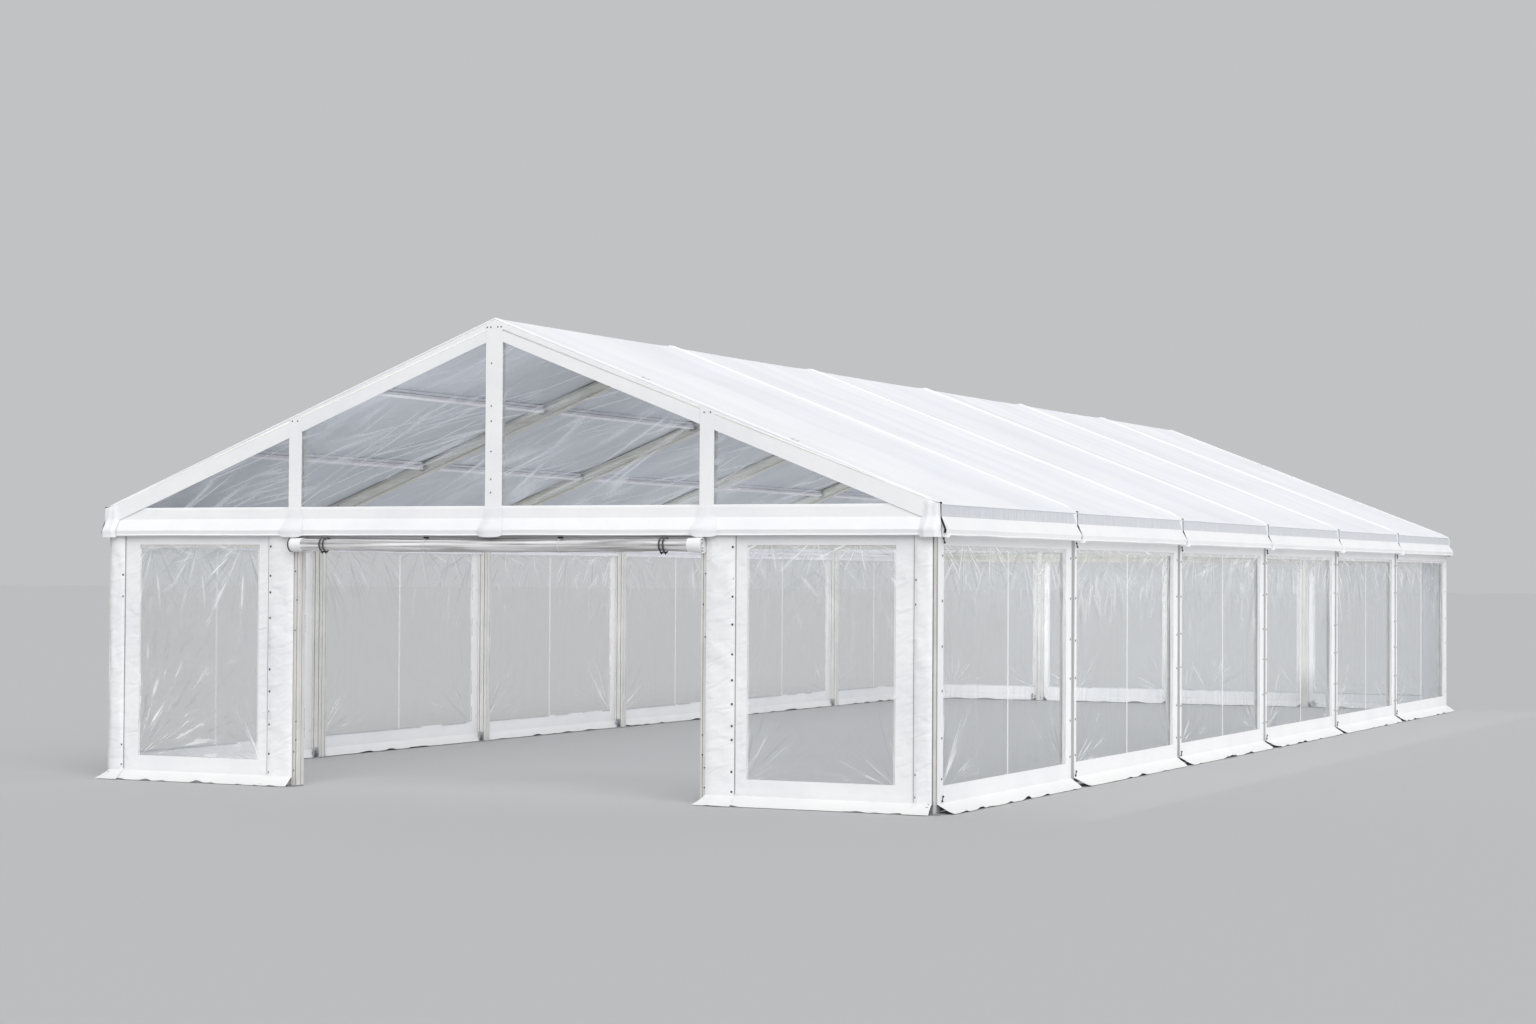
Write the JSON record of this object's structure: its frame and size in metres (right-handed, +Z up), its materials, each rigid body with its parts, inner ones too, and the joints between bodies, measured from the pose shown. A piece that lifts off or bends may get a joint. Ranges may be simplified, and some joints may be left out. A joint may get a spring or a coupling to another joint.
{
  "type": "marquee tent",
  "caption": "Clear-span marquee tent: aluminium portal frames with white PVC roof covers, window walls and gables, and a wide doorway with its clear door rolled up under the valance.",
  "frame": {"origin": "on the floor, in the middle of the plan", "axes": "+Y along the ridge from the gable with the doorway to the closed gable, +X to the right seen along +Y, +Z up"},
  "size_m": [10.3232, 24.4432, 5.0011],
  "materials": {
    "anodised_aluminium": "mill and anodised extrusions, satin",
    "white_pvc": "PVC-coated polyester, smooth, slightly soiled",
    "clear_pvc": "clear flexible PVC film, creased and cloudy"
  },
  "bodies": {
    "root": {"portal_frame_1": "anodised_aluminium", "portal_frame_2": "anodised_aluminium", "portal_frame_3": "anodised_aluminium", "portal_frame_4": "anodised_aluminium", "portal_frame_5": "anodised_aluminium", "portal_frame_6": "anodised_aluminium", "portal_frame_7": "anodised_aluminium", "ridge_purlin": "anodised_aluminium", "roof_purlin_left_upper": "anodised_aluminium", "roof_purlin_left_lower": "anodised_aluminium", "roof_purlin_right_upper": "anodised_aluminium", "roof_purlin_right_lower": "anodised_aluminium", "eave_beam_left": "anodised_aluminium", "eave_beam_right": "anodised_aluminium", "front_gable_frame": "anodised_aluminium", "rear_gable_frame": "anodised_aluminium", "roof_cover_bay_1": "white_pvc", "roof_cover_bay_2": "white_pvc", "roof_cover_bay_3": "white_pvc", "roof_cover_bay_4": "white_pvc", "roof_cover_bay_5": "white_pvc", "roof_cover_bay_6": "white_pvc", "left_wall_bay_1": "white_pvc", "left_wall_bay_2": "white_pvc", "left_wall_bay_3": "white_pvc", "left_wall_bay_4": "white_pvc", "left_wall_bay_5": "white_pvc", "left_wall_bay_6": "white_pvc", "right_wall_bay_1": "white_pvc", "right_wall_bay_2": "white_pvc", "right_wall_bay_3": "white_pvc", "right_wall_bay_4": "white_pvc", "right_wall_bay_5": "white_pvc", "right_wall_bay_6": "white_pvc", "left_wall_windows": "clear_pvc", "right_wall_windows": "clear_pvc", "front_wall_left": "white_pvc", "front_wall_right": "white_pvc", "front_window_left": "clear_pvc", "front_window_right": "clear_pvc", "rear_wall": "white_pvc", "rear_wall_windows": "clear_pvc", "front_gable_cover": "white_pvc", "front_gable_windows": "clear_pvc", "rear_gable_cover": "white_pvc", "rear_gable_windows": "clear_pvc", "rolled_door": "clear_pvc"}
  },
  "joints": []
}
